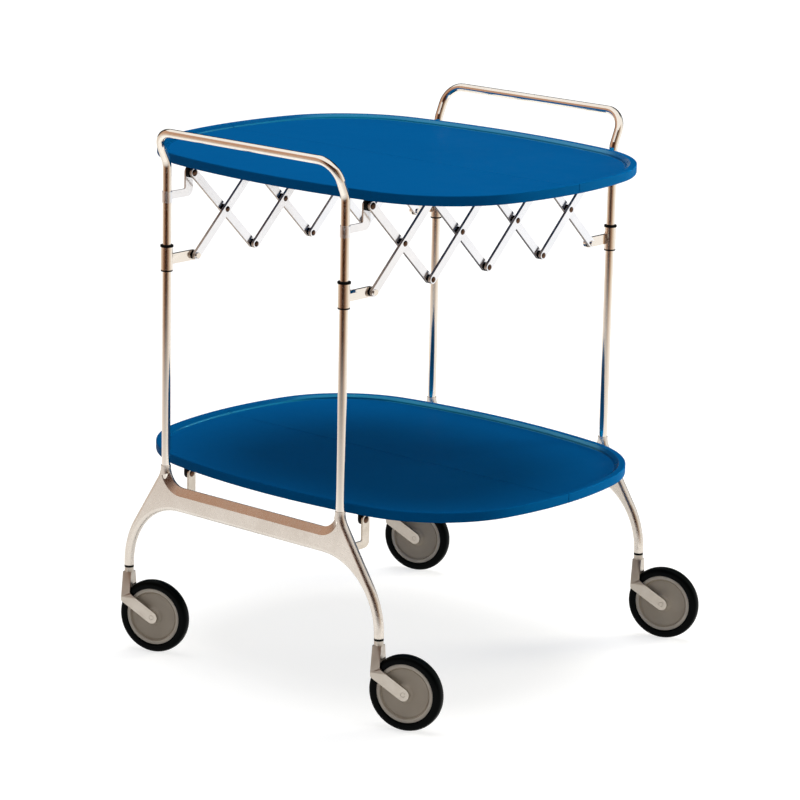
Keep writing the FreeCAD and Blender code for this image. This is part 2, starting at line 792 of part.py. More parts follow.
b_front = "plan.layer_b - plan.half_link"
b_back = "plan.layer_b + plan.half_link"
a_front = "plan.layer_a - plan.half_link"
a_back = "plan.layer_a + plan.half_link"
c_front = "plan.layer_c - plan.half_link"
c_back = "plan.layer_c + plan.half_link"
gap = "sizes.running_gap"
top_line = "plan.top_hinge_z"
cross_line = "plan.cross_z"
low_line = "plan.collar_z"


# Falling links, whose inner ends at the open middle pivot carry a rivet tail of their own
def falling_links(number):
    pieces = []
    rivet_bore = size["rivet_dia"] / 2
    for row in rows:
        first = size["pin_dia"] / 2 if number == 1 else rivet_bore
        pieces.append(link(f"falling_link_{number}_{row}", False, number, row, (first, rivet_bore)))
        if number in (2, 3):
            level = low_line if number == 2 else top_line
            base = post_line(row)
            steps = rivet_steps(base, a_front, a_back, "0", "0")[1:]
            pieces.append(pin(f"falling_rivet_{number}_{row}", "0", level, steps))
    keep(group(f"falling_links_{number}", pieces))


def rising_links(number):
    pieces = []
    rivet_bore = size["rivet_dia"] / 2
    for row in rows:
        last = size["pin_dia"] / 2 if number == 4 else rivet_bore
        pieces.append(link(f"rising_link_{number}_{row}", True, number, row, (rivet_bore, last)))
    keep(group(f"rising_links_{number}", pieces))


# Pivots carried by each rising link: (place along the row in pitches, level, open)
rising_pivots = {
    1: [(-1.5, cross_line, False), (-1, top_line, False)],
    2: [(-1, low_line, False), (-0.5, cross_line, False), (0, top_line, True)],
    3: [(0, low_line, True), (0.5, cross_line, False), (1, top_line, False)],
    4: [(1, low_line, False), (1.5, cross_line, False)],
}


# Rivets that join the rising links to the falling ones
def scissor_rivets(number):
    pieces = []
    for row in rows:
        base = post_line(row)
        for place, level, is_open in rising_pivots[number]:
            steps = rivet_steps(base, b_front, a_back, "0", gap)
            if is_open:
                steps = rivet_steps(base, b_front, a_front, "0", f"-{gap}")[:2]
            pieces.append(pin(f"rivet_{number}_{row}", f"{place} * plan.pitch", level, steps))
    keep(group(f"scissor_rivets_{number}", pieces))


# Black spacers between the two layers of links
def scissor_spacers(number):
    pieces = []
    inner = "sizes.rivet_dia / 2 + sizes.pin_clearance"
    for row in rows:
        base = post_line(row)
        for place, level, _ in rising_pivots[number]:
            start = f"{base} + {b_back}"
            end = f"{base} + {a_front} - {gap}"
            name = f"spacer_{number}_{row}"
            x = f"{place} * plan.pitch"
            pieces.append(washer(name, "sizes.spacer_dia / 2", inner, x, start, end, level))
    keep(group(f"scissor_spacers_{number}", pieces))


# Collars that slide on the posts, with an ear and a rivet for the lowest scissor pivot
def collars(side):
    sign = sides[side]
    layer = {"left": "layer_a", "right": "layer_c"}[side]
    front = {"left": b_front, "right": a_front}[side]
    back = {"left": a_back, "right": c_back}[side]
    pieces = []
    for row in rows:
        body = new_body(f"collar_{side}_{row}")
        disc = [circle_at(0, 0, size["collar_dia"] / 2)]
        sleeve = new_sketch(body, "XY_Plane", disc, "-sizes.collar_height / 2")
        pad(body, sleeve, "sizes.collar_height")
        reach = Vector(-sign * size["hinge_inset"], 0, 0)
        ear = slot(Vector(-sign * size["tube_dia"] / 2, 0, 0), reach, size["eye_dia"] / 2)
        plate = new_sketch(body, "XZ_Plane", ear, f"-plan.{layer}")
        pad(body, plate, "sizes.link_thickness", symmetric=True)
        bore = [circle_at(0, 0, size["tube_dia"] / 2 + size["slide_gap"])]
        pocket(body, new_sketch(body, "XY_Plane", bore), "2 * sizes.collar_height", symmetric=True)
        hole = [circle_at(reach.x, 0, size["rivet_dia"] / 2 + size["pin_clearance"])]
        pocket(body, new_sketch(body, "XZ_Plane", hole), "sizes.post_gap_y / 4", symmetric=True)
        move(body, f"{sign} * plan.post_x", post_line(row), low_line)
        pieces.append(body)
        steps = rivet_steps(post_line(row), front, back, gap, "0")
        pieces.append(pin(f"collar_rivet_{side}_{row}", f"{sign} * plan.hinge_x", low_line, steps))
    keep(group(f"collars_{side}", pieces))


# Black guide rings on the collars and the spacers at their rivets
def collar_rings(side):
    sign = sides[side]
    start = {"left": b_back, "right": a_back}[side]
    end = {"left": a_front, "right": c_front}[side]
    pieces = []
    for row in rows:
        body = new_body(f"collar_ring_{side}_{row}")
        inner = size["tube_dia"] / 2 + size["slide_gap"]
        ring = [circle_at(0, 0, size["ring_dia"] / 2), circle_at(0, 0, inner)]
        pad(body, new_sketch(body, "XY_Plane", ring, "sizes.collar_height / 2"), "sizes.ring_height")
        move(body, f"{sign} * plan.post_x", post_line(row), low_line)
        pieces.append(body)
        base = post_line(row)
        bore = "sizes.rivet_dia / 2 + sizes.pin_clearance"
        name = f"collar_spacer_{side}_{row}"
        x = f"{sign} * plan.hinge_x"
        outer = "sizes.spacer_dia / 2"
        pieces.append(washer(name, outer, bore, x, f"{base} + {start} + {gap}", f"{base} + {end}", low_line))
    keep(group(f"collar_rings_{side}", pieces))


def caster_spin(item):
    turn(item, (0, 0, -1), "90 - sizes.heading")


def at_stem(item, side, row):
    caster_spin(item)
    move(item, f"{sides[side]} * plan.post_x", f"{rows[row]} * plan.stem_y")


def at_axle(item, side, row):
    caster_spin(item)
    x = f"{sides[side]} * plan.post_x + plan.trail_x"
    move(item, x, f"{rows[row]} * plan.stem_y + plan.trail_y", "plan.wheel_radius")


# Side view of the fork in X and Z: crown over the swivel axis and arm down to the axle
def fork_outline():
    crown = size["crown_width"] / 2
    half = size["arm_width"] / 2
    axle = Vector(size["trail"], size["wheel_radius"], 0)
    root = Vector(0, size["crown_top_z"] - size["crown_drop"], 0)
    along = (axle - root).normalize()
    across = Vector(-along.y, along.x, 0) * half
    tip = axle + along * half
    upper = root + across
    lower = root - across
    slope = along.y / along.x
    return rounded([
        (-crown, size["crown_top_z"], 0),
        (crown, size["crown_top_z"], 0),
        (crown, upper.y + (crown - upper.x) * slope, half / 2),
        (tip.x + across.x, tip.y + across.y, half * full_round),
        (tip.x - across.x, tip.y - across.y, half * full_round),
        (-crown, lower.y + (-crown - lower.x) * slope, half / 2),
    ])


# Caster fork: stem, bearing collar, tapered crown and two arms
def caster_fork(side, row):
    body = new_body(f"caster_fork_{side}_{row}")
    pad(body, new_sketch(body, "XZ_Plane", fork_outline()), "plan.fork_width", symmetric=True)
    swing = size["wheel_radius"] + size["wheel_tread_gap"]
    wheel = [circle_at(size["trail"], size["wheel_radius"], swing)]
    pocket(body, new_sketch(body, "XZ_Plane", wheel), "plan.fork_gap", symmetric=True)
    top = size["crown_top_z"]
    foot = top - size["crown_drop"]
    wide = size["fork_width"] / 2
    narrow = size["crown_top_width"] / 2
    cuts = []
    for end in (-1, 1):
        past = wide + narrow
        wedge = [(wide, foot), (narrow, top), (past, top), (past, foot)]
        cuts += rounded([(end * y, z, 0) for y, z in wedge])
    pocket(body, new_sketch(body, "YZ_Plane", cuts), "4 * sizes.crown_width", symmetric=True)
    bearing = [circle_at(0, 0, size["bearing_dia"] / 2)]
    height = "sizes.bearing_height - sizes.running_gap"
    pad(body, new_sketch(body, "XY_Plane", bearing, "plan.crown_top_z"), height)
    stem = [circle_at(0, 0, size["stem_dia"] / 2)]
    pad(body, new_sketch(body, "XY_Plane", stem, "plan.crown_top_z"),
        "sizes.bearing_height + sizes.stem_length")
    bore = [circle_at(size["trail"], size["wheel_radius"], size["axle_dia"] / 2 + size["pin_clearance"])]
    pocket(body, new_sketch(body, "XZ_Plane", bore), "2 * plan.fork_width", symmetric=True)
    at_stem(body, side, row)
    keep(body)


# Axle pin, pressed in flush with the outer faces of the fork's arms
def caster_axle(side, row):
    half = size["fork_width"] / 2
    radius = size["axle_dia"] / 2
    chamfer = size["axle_chamfer"]
    body = turned(f"caster_axle_{side}_{row}", [
        (-half, 0, 0), (-half, radius - chamfer, 0), (chamfer - half, radius, 0),
        (half - chamfer, radius, 0), (half, radius - chamfer, 0), (half, 0, 0),
    ])
    at_axle(body, side, row)
    keep(body)


# Dished wheel disc with a raised rim and a boss on the axle
def wheel_hub(side, row):
    bore = size["axle_dia"] / 2 + size["pin_clearance"]
    boss = size["boss_dia"] / 2
    face = size["fork_gap"] / 2 - size["running_gap"]
    web = size["hub_web"] / 2
    rim = size["hub_width"] / 2
    outer = size["hub_radius"]
    inner = outer - size["hub_rim"]
    rounding = size["hub_rounding"]
    half = [
        (face, bore, 0),
        (face, boss, rounding),
        (web, boss + size["boss_flank"], rounding),
        (web, inner - size["rim_flank"], rounding),
        (rim, inner, rounding / 2),
        (rim, outer, 0),
    ]
    mirrored = [(-axial, radial, ease) for axial, radial, ease in reversed(half)]
    body = turned(f"wheel_hub_{side}_{row}", half + mirrored)
    at_axle(body, side, row)
    keep(body)


def wheel_tyre(side, row):
    inner = size["hub_radius"] + size["tube_fit"]
    outer = size["wheel_radius"]
    half = size["wheel_width"] / 2
    rounding = size["tyre_rounding"]
    body = turned(f"wheel_tyre_{side}_{row}", [
        (-half, inner, 0), (-half, outer, rounding), (half, outer, rounding), (half, inner, 0),
    ])
    at_axle(body, side, row)
    keep(body)


for end_name in sides:
    handle_tube(end_name)
    end_casting(end_name)
    top_brackets(end_name)
    tray_lugs(end_name)
    lug_screws(end_name)
    pivot_pins(end_name)
    collars(end_name)
    collar_rings(end_name)
    for tray_level in levels:
        tray_half(tray_level, end_name)
        tray_clips(tray_level, end_name)
        hinge_leaves(tray_level, end_name)
    for row_name in rows:
        caster_fork(end_name, row_name)
        caster_axle(end_name, row_name)
        wheel_hub(end_name, row_name)
        wheel_tyre(end_name, row_name)
for link_number in (1, 2, 3, 4):
    falling_links(link_number)
    rising_links(link_number)
    scissor_rivets(link_number)
    scissor_spacers(link_number)
doc.recompute()

for item in doc.Objects:
    if "Invalid" in item.State or "Error" in item.State:
        raise RuntimeError(f"{item.Label} failed to compute")
for node in nodes:
    if node.Shape.isNull() or not node.Shape.isValid():
        raise RuntimeError(f"{node.Label} has no valid shape")

os.makedirs("parts", exist_ok=True)
for node in nodes:
    node.Shape.exportStep(f"parts/{node.Label}.step")
    print(node.Label, len(node.Shape.Solids), round(node.Shape.Volume, 1))
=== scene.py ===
import math

import bmesh
import bpy
from mathutils import Matrix, Vector


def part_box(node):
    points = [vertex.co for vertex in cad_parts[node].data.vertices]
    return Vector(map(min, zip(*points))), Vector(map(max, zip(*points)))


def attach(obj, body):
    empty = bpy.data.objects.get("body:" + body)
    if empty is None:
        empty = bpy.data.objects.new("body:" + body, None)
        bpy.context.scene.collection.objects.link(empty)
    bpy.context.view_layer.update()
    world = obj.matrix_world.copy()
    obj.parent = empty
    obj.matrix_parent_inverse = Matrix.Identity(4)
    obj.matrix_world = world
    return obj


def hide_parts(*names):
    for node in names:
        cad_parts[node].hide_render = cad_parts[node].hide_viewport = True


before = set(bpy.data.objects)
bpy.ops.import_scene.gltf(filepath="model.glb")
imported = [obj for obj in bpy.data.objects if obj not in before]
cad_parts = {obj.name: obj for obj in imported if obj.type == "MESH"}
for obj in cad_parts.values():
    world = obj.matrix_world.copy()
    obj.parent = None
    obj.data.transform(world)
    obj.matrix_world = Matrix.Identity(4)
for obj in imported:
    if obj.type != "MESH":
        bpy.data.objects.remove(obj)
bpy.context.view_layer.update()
print("frame loaded:", len(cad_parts), "nodes")

sides = {"left": -1, "right": 1}  # signs along X
rows = {"front": -1, "rear": 1}  # signs along Y
mm = 0.001
mergeGap = 1e-6  # metres: points nearer to each other than this are one
planeGap = 1e-7  # metres: points nearer to a cutting plane than this lie on it


# sRGB hex to the linear colour that the shaders take
def hexColour(code):
    channels = [int(code[i:i + 2], 16) / 255 for i in (1, 3, 5)]
    linear = [c / 12.92 if c <= 0.04045 else ((c + 0.055) / 1.055) ** 2.4 for c in channels]
    return (*linear, 1.0)


# texture scale that gives features of a real size, in millimetres
def perMillimetre(size):
    return 1000 / size


# one node with its settings, which are properties or input values, and its links
def addNode(tree, kind, settings=None, links=None):
    node = tree.nodes.new(kind)
    for name, value in (settings or {}).items():
        if isinstance(name, str) and hasattr(node, name):
            setattr(node, name, value)
        else:
            node.inputs[name].default_value = value
    for name, source in (links or {}).items():
        tree.links.new(source, node.inputs[name])
    return node


def newMaterial(name):
    material = bpy.data.materials.new(name)
    material.use_nodes = True
    material.node_tree.nodes.clear()
    return material, material.node_tree


plainWhite = hexColour("#FFFFFF")
noiseDetail = {"cloud": 2.0, "rough": 3.0, "relief": 3.0}
noiseMiddle = (0.3, 0.7)  # the part of a noise's range that is spread over a finish's own range


# a finish shared by the metals and plastics: cloudy colour, uneven roughness and a fine surface relief
def surface(name, finish):
    material, tree = newMaterial(name)
    coords = addNode(tree, "ShaderNodeTexCoord").outputs["Object"]
    grain = {}
    for layer, detail in noiseDetail.items():
        noise = {"Scale": perMillimetre(finish[f"{layer}Mm"]), "Detail": detail}
        grain[layer] = addNode(tree, "ShaderNodeTexNoise", noise, {"Vector": coords}).outputs["Fac"]
    for layer, (low, high) in {"cloud": (0.0, 1.0), "rough": finish["roughness"]}.items():
        spread = {"From Min": noiseMiddle[0], "From Max": noiseMiddle[1], "To Min": low, "To Max": high}
        spreadNoise = addNode(tree, "ShaderNodeMapRange", spread, {"Value": grain[layer]})
        grain[layer] = spreadNoise.outputs["Result"]
    tones = {"data_type": "RGBA", 6: hexColour(finish["colour"]), 7: hexColour(finish["shade"])}
    colour = addNode(tree, "ShaderNodeMix", tones, {"Factor": grain["cloud"]})
    depth = {"Strength": finish["reliefStrength"], "Distance": finish["reliefDepth"] * mm}
    bump = addNode(tree, "ShaderNodeBump", depth, {"Height": grain["relief"]})
    shader = addNode(tree, "ShaderNodeBsdfPrincipled", finish["shader"],
                     {"Base Color": colour.outputs[2], "Roughness": grain["rough"],
                      "Normal": bump.outputs["Normal"]})
    addNode(tree, "ShaderNodeOutputMaterial", {}, {"Surface": shader.outputs["BSDF"]})
    return material


# moulded ABS with a fine spark-eroded grain: deep saturated blue that hardly shines
blueAbs = surface("blueMouldedAbs", {
    "colour": "#005C9A", "shade": "#005A97", "cloudMm": 220, "roughness": (0.46, 0.52), "roughMm": 30,
    "reliefMm": 2.5, "reliefStrength": 0.01, "reliefDepth": 0.03,
    "shader": {"Metallic": 0.0, "IOR": 1.45, "Specular IOR Level": 0.008},
})
# the same ABS from the polished part of the mould: a clear gloss along the slope inside the lips
blueGloss = surface("bluePolishedAbs", {
    "colour": "#005C9A", "shade": "#005A97", "cloudMm": 220, "roughness": (0.2, 0.26), "roughMm": 30,
    "reliefMm": 8, "reliefStrength": 0.02, "reliefDepth": 0.03,
    "shader": {"Metallic": 0.0, "IOR": 1.7, "Specular IOR Level": 1.0,
               "Specular Tint": hexColour("#2FEFFF")},
})
# chromed drawn tube: mirror bright and a little warm, with faint handling haze
chromeTube = surface("chromedSteelTube", {
    "colour": "#F6EEE3", "shade": "#F0E6D9", "cloudMm": 60, "roughness": (0.1, 0.13), "roughMm": 9,
    "reliefMm": 6, "reliefStrength": 0.02, "reliefDepth": 0.04,
    "shader": {"Metallic": 1.0},
})
# buffed aluminium casting: soft broad reflections over a slightly wavy skin
buffedAluminium = surface("buffedCastAluminium", {
    "colour": "#E0D8CE", "shade": "#D9D0C5", "cloudMm": 40, "roughness": (0.24, 0.3), "roughMm": 8,
    "reliefMm": 14, "reliefStrength": 0.008, "reliefDepth": 0.12,
    "shader": {"Metallic": 1.0},
})
# nickel-plated strip steel: bright flat faces with a fine rolled haze
nickelPlate = surface("nickelPlatedSteel", {
    "colour": "#FBFBFD", "shade": "#F4F5F8", "cloudMm": 25, "roughness": (0.14, 0.22), "roughMm": 5,
    "reliefMm": 4, "reliefStrength": 0.03, "reliefDepth": 0.03,
    "shader": {"Metallic": 1.0},
})
# zinc-plated pressed steel of the lugs under the low tray: duller and warmer than the links
zincPlate = surface("zincPlatedSteel", {
    "colour": "#D8CFC3", "shade": "#CBC1B3", "cloudMm": 14, "roughness": (0.26, 0.36), "roughMm": 4,
    "reliefMm": 2, "reliefStrength": 0.06, "reliefDepth": 0.03,
    "shader": {"Metallic": 1.0},
})
# rivets painted warm brown, a painted reflection on their metal heads; dull at their rims
rivetPaintedReflection = surface("brownRivetPaintedReflection", {
    "colour": "#6E5240", "shade": "#4C3628", "cloudMm": 5, "roughness": (0.28, 0.42), "roughMm": 2,
    "reliefMm": 1.2, "reliefStrength": 0.08, "reliefDepth": 0.03,
    "shader": {"Metallic": 1.0},
})
# moulded black nylon: matte with a fine spark-eroded grain
blackNylon = surface("mouldedBlackNylon", {
    "colour": "#050506", "shade": "#0A0A0A", "cloudMm": 12, "roughness": (0.42, 0.56), "roughMm": 3,
    "reliefMm": 0.9, "reliefStrength": 0.12, "reliefDepth": 0.04,
    "shader": {"Metallic": 0.0, "IOR": 1.53, "Specular IOR Level": 0.05},
})
# moulded grey polypropylene wheel disc: warm, satin, with a fine sand grain
greyDisc = surface("mouldedGreyPolypropylene", {
    "colour": "#CBBFAF", "shade": "#C2B5A5", "cloudMm": 30, "roughness": (0.42, 0.54), "roughMm": 5,
    "reliefMm": 1.1, "reliefStrength": 0.08, "reliefDepth": 0.04,
    "shader": {"Metallic": 0.0, "IOR": 1.49, "Specular IOR Level": 0.3},
})
# the disc's turned rim: the same plastic, painted paler as a painted highlight where light catches the rim
discRimHighlight = surface("greyPolypropylenePaintedHighlight", {
    "colour": "#E3D9CC", "shade": "#D9CEC0", "cloudMm": 20, "roughness": (0.4, 0.5), "roughMm": 5,
    "reliefMm": 1.1, "reliefStrength": 0.06, "reliefDepth": 0.04,
    "shader": {"Metallic": 0.0, "IOR": 1.49, "Specular IOR Level": 0.3},
})
# vulcanised rubber: deep black with a tight sheen and a faint bloom
blackRubber = surface("vulcanisedRubber", {
    "colour": "#020505", "shade": "#050707", "cloudMm": 18, "roughness": (0.3, 0.4), "roughMm": 6,
    "reliefMm": 1.2, "reliefStrength": 0.08, "reliefDepth": 0.04,
    "shader": {"Metallic": 0.0, "IOR": 1.52, "Specular IOR Level": 0.04},
})
# tumbled zinc die casting of the forks: pale satin metal
satinZinc = surface("tumbledZincCasting", {
    "colour": "#C6BEB3", "shade": "#BCB3A7", "cloudMm": 15, "roughness": (0.3, 0.4), "roughMm": 4,
    "reliefMm": 3, "reliefStrength": 0.06, "reliefDepth": 0.04,
    "shader": {"Metallic": 1.0},
})
# sheared edges of the plated strip: bare and dull, and painted darker than the flat faces as painted shade
# for the dark lines along the links
shearedEdgeAndShade = surface("shearedEdgeWithPaintedShade", {
    "colour": "#CDBFB2", "shade": "#BBAEA1", "cloudMm": 4, "roughness": (0.5, 0.62), "roughMm": 2,
    "reliefMm": 1.2, "reliefStrength": 0.1, "reliefDepth": 0.04,
    "shader": {"Metallic": 0.9, "Specular IOR Level": 0.2},
})
print("finishes mixed")

# finishes of the CAD nodes by the start of their names, where the longest start wins
nodeFinish = {
    "handle_tube": chromeTube, "end_casting": buffedAluminium, "top_brackets": nickelPlate,
    "tray_lugs": zincPlate, "lug_screws": nickelPlate, "pivot_pins": rivetPaintedReflection,
    "collars": chromeTube, "collar_rings": blackNylon,
    "top_tray": blueAbs, "low_tray": blueAbs, "top_tray_clips": blackNylon, "low_tray_clips": blackNylon,
    "top_hinge_leaves": nickelPlate, "low_hinge_leaves": nickelPlate,
    "caster_fork": satinZinc, "caster_axle": satinZinc, "wheel_hub": greyDisc, "wheel_tyre": blackRubber,
    "falling_links": nickelPlate, "rising_links": nickelPlate, "scissor_rivets": rivetPaintedReflection,
    "scissor_spacers": blackNylon,
}


def finishFor(node):
    stem = max((name for name in nodeFinish if node.startswith(name)), key=len)
    return nodeFinish[stem]


for nodeName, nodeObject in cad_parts.items():
    for slotItem in nodeObject.material_slots:
        slotItem.material = finishFor(nodeName)
print("CAD nodes dressed")


# a finished bmesh becomes an object of the scene
def placeMesh(name, bm):
    mesh = bpy.data.meshes.new(name)
    bm.to_mesh(mesh)
    bm.free()
    placed = bpy.data.objects.new(name, mesh)
    bpy.context.scene.collection.objects.link(placed)
    return placed


# a piece: smooth faces creased past an angle in degrees, its finishes, its body and its nodes
def finishPiece(name, bm, materials, body, nodes, crease):
    piece = placeMesh(name, bm)
    piece.data.shade_smooth()
    piece.data.set_sharp_from_angle(angle=math.radians(crease))
    for material in materials:
        piece.data.materials.append(material)
    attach(piece, body)
    if nodes:
        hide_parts(*nodes)
    return piece


def sealMesh(bm):
    bmesh.ops.remove_doubles(bm, verts=bm.verts, dist=mergeGap)
    bmesh.ops.recalc_face_normals(bm, faces=bm.faces)


def bevelEdges(bm, edges, width, segments, clamp=True):
    return bmesh.ops.bevel(bm, geom=edges, offset=width * mm, offset_type="OFFSET", segments=segments,
                           profile=0.5, affect="EDGES", material=-1, clamp_overlap=clamp)


# trays, in millimetres: arcs of the outline, the lip's steps as (inset, rise), and the roundings of its
# edges as (width, segments)
trayShape = {
    "endRadius": 940, "sideRadius": 500, "cornerRadius": 155, "endReach": 240, "length": 602,
    "steps": {"side": 14, "corner": 22, "end": 10},
    "crest": (8.5, 0), "slope": (5.0, -2.8), "wall": (0.9, -2.4),
    "outerRounding": (1.1, 4), "footRounding": (2.5, 3), "crestRounding": (0.4, 2),
    "slopeRounding": (0.6, 3), "coveRounding": (0.6, 3), "seamRounding": (0.75, 3),
    "seam": 0.2, "seamEdge": 1.0,  # gap between the halves, and how far its rounded edges reach
    "hollowBand": 42, "seamBand": 34, "hollowDepth": 5, "hollowWall": 1.2,
    "polished": (0.1, 0.98),  # upward share of the normals on the lip's polished slope
    "crease": 50, "flatWeight": 100,
}


def sweepArc(bm, vertex, centre, angle, steps):
    swept = bmesh.ops.spin(bm, geom=[vertex], cent=(*centre, 0), axis=(0, 0, 1), angle=angle, steps=steps)
    return next(item for item in swept["geom_last"] if isinstance(item, bmesh.types.BMVert))


# a quarter of the outline swept arc by arc, then mirrored twice into a closed loop
def trayLoop(bm, shape):
    endCentre = Vector(((shape["endReach"] - shape["endRadius"]) * mm, 0))
    sideCentre = Vector((0, (shape["length"] / 2 - shape["sideRadius"]) * mm))
    toEnd = (shape["endRadius"] - shape["cornerRadius"]) * mm
    toSide = (shape["sideRadius"] - shape["cornerRadius"]) * mm
    between = sideCentre - endCentre
    along = (toEnd ** 2 - toSide ** 2 + between.length ** 2) / (2 * between.length)
    unit = between.normalized()
    corner = endCentre + unit * along + Vector((-unit.y, unit.x)) * math.sqrt(toEnd ** 2 - along ** 2)
    endTurn = math.atan2(corner.y - endCentre.y, corner.x - endCentre.x)
    sideTurn = math.atan2(corner.y - sideCentre.y, corner.x - sideCentre.x)
    point = bm.verts.new((endCentre.x + shape["endRadius"] * mm, 0, 0))
    point = sweepArc(bm, point, endCentre, endTurn, shape["steps"]["end"])
    point = sweepArc(bm, point, corner, sideTurn - endTurn, shape["steps"]["corner"])
    sweepArc(bm, point, sideCentre, math.pi / 2 - sideTurn, shape["steps"]["side"])
    for axis in ("X", "Y"):
        bmesh.ops.mirror(bm, geom=bm.verts[:] + bm.edges[:], matrix=Matrix(), merge_dist=mergeGap,
                         axis=axis)
    bmesh.ops.remove_doubles(bm, verts=bm.verts, dist=mergeGap)
    return bmesh.ops.contextual_create(bm, geom=bm.verts[:] + bm.edges[:])["faces"][0]


def insetFace(bm, face, inset, rise):
    bmesh.ops.inset_region(bm, faces=[face], thickness=inset * mm, use_even_offset=True, use_boundary=True)
    bmesh.ops.translate(bm, verts=face.verts, vec=(0, 0, rise * mm))
    return face.edges[:]


# the widest face that looks straight down
def lowestFace(bm):
    return min(bm.faces, key=lambda face: face.normal.z * face.calc_area())


# the underside inside its rim band is parted by a band each side of the seam
def partUnderside(bm, shape):
    under = lowestFace(bm)
    insetFace(bm, under, shape["hollowBand"], 0)
    parts = [under]
    for sign in sides.values():
        wide = max(parts, key=lambda face: face.calc_area())
        found = bmesh.ops.bisect_plane(bm, geom=[wide] + wide.edges[:] + wide.verts[:], dist=planeGap,
                                       plane_co=(sign * shape["seamBand"] * mm, 0, 0), plane_no=(1, 0, 0))
        parts = [item for item in found["geom"] if isinstance(item, bmesh.types.BMFace)]


# the slope inside the lip takes the second finish, and the seam's rounded edges stay matte
def polishLip(bm, shape):
    least, most = shape["polished"]
    for face in bm.faces:
        face.normal_update()
        middle = face.calc_center_median()
        inwards = face.normal.xy.dot(middle.xy) < 0
        isSlope = least < face.normal.z < most
        isSeam = abs(middle.x) < shape["seamEdge"] * mm
        face.material_index = int(inwards and isSlope and not isSeam)


def makeTray(level, shape):
    low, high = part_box(f"{level}_tray_left")
    bm = bmesh.new()
    top = trayLoop(bm, shape)
    bmesh.ops.translate(bm, verts=bm.verts, vec=(0, 0, high[2]))
    outerEdges = top.edges[:]
    pulled = bmesh.ops.extrude_face_region(bm, geom=[top], use_keep_orig=True)["geom"]
    foot = next(item for item in pulled if isinstance(item, bmesh.types.BMFace))
    bmesh.ops.translate(bm, verts=foot.verts, vec=(0, 0, low[2] - high[2]))
    footEdges = foot.edges[:]
    crestEdges = insetFace(bm, top, *shape["crest"])
    slopeEdges = insetFace(bm, top, *shape["slope"])
    coveEdges = insetFace(bm, top, *shape["wall"])
    bevelEdges(bm, outerEdges, *shape["outerRounding"])
    bevelEdges(bm, footEdges, *shape["footRounding"])
    bevelEdges(bm, crestEdges, *shape["crestRounding"])
    bevelEdges(bm, slopeEdges, *shape["slopeRounding"])
    bevelEdges(bm, coveEdges, *shape["coveRounding"])
    sealMesh(bm)
    partUnderside(bm, shape)
    for side, sign in sides.items():
        half = bm.copy()
        whole = half.verts[:] + half.edges[:] + half.faces[:]
        cut = bmesh.ops.bisect_plane(half, geom=whole, dist=planeGap, clear_outer=True,
                                     plane_co=(sign * shape["seam"] / 2 * mm, 0, 0), plane_no=(-sign, 0, 0))
        seamEdges = [item for item in cut["geom_cut"] if isinstance(item, bmesh.types.BMEdge)]
        cap = bmesh.ops.edgeloop_fill(half, edges=seamEdges)["faces"]
        sealMesh(half)
        insetFace(half, lowestFace(half), shape["hollowWall"], shape["hollowDepth"])
        bevelEdges(half, [edge for face in cap for edge in face.edges], *shape["seamRounding"], clamp=False)
        sealMesh(half)
        polishLip(half, shape)
        piece = finishPiece(f"{level}Tray_{side}", half, (blueAbs, blueGloss), f"{level}_{side}_half",
                            [f"{level}_tray_{side}"], shape["crease"])
        flat = piece.modifiers.new("flatFaces", "WEIGHTED_NORMAL")
        flat.weight = shape["flatWeight"]
        flat.keep_sharp = True
    bm.free()


for trayLevel in ("top", "low"):
    makeTray(trayLevel, trayShape)
print("trays modelled")

# wheels: half profiles as (axial, radial, rounding) in millimetres, spun about the axle; the heading is
# the axle's direction in degrees, where 90 is along Y
wheelShape = {
    "heading": 18, "steps": 96, "highlightFrom": 33.4, "crease": 28,
    "tyre": [(6.6, 37.55, 0), (7.2, 38.9, 0.5), (7.5, 42.0, 1.6), (6.9, 46.1, 2.2), (3.6, 48.4, 2.4)],
    "disc": [(7.9, 3.05, 0), (7.9, 7.9, 0.7), (6.2, 8.6, 0.4), (5.6, 10.6, 0.8), (3.0, 12.6, 1.2),
             (2.3, 21.0, 3.0), (3.1, 30.6, 0.3), (2.4, 31.1, 0.2), (2.4, 31.9, 0.2), (5.5, 32.7, 0.5),
             (6.0, 33.6, 0.3), (6.0, 36.5, 0.3), (5.6, 37.45, 0)],
}
cornerSegments = 3  # in each rounded corner of a spun profile


# a closed profile, rounded at its corners and spun once round the Y axis
def spinProfile(bm, corners, steps):
    verts = [bm.verts.new((0, axial * mm, radial * mm)) for axial, radial, ease in corners]
    bm.faces.new(verts)
    for vertex, (axial, radial, ease) in zip(verts, corners):
        if ease:
            bmesh.ops.bevel(bm, geom=[vertex], offset=ease * mm, offset_type="OFFSET",
                            segments=cornerSegments, profile=0.5, affect="VERTICES", material=-1)
    face = bm.faces[:][-1]
    rim = face.edges[:]
    points = face.verts[:]
    bmesh.ops.delete(bm, geom=[face], context="FACES_ONLY")
    bmesh.ops.spin(bm, geom=points + rim, cent=(0, 0, 0), axis=(0, 1, 0), angle=math.tau, steps=steps,
                   use_merge=True)


def wholeProfile(half):
    return half + [(-axial, radial, ease) for axial, radial, ease in reversed(half)]


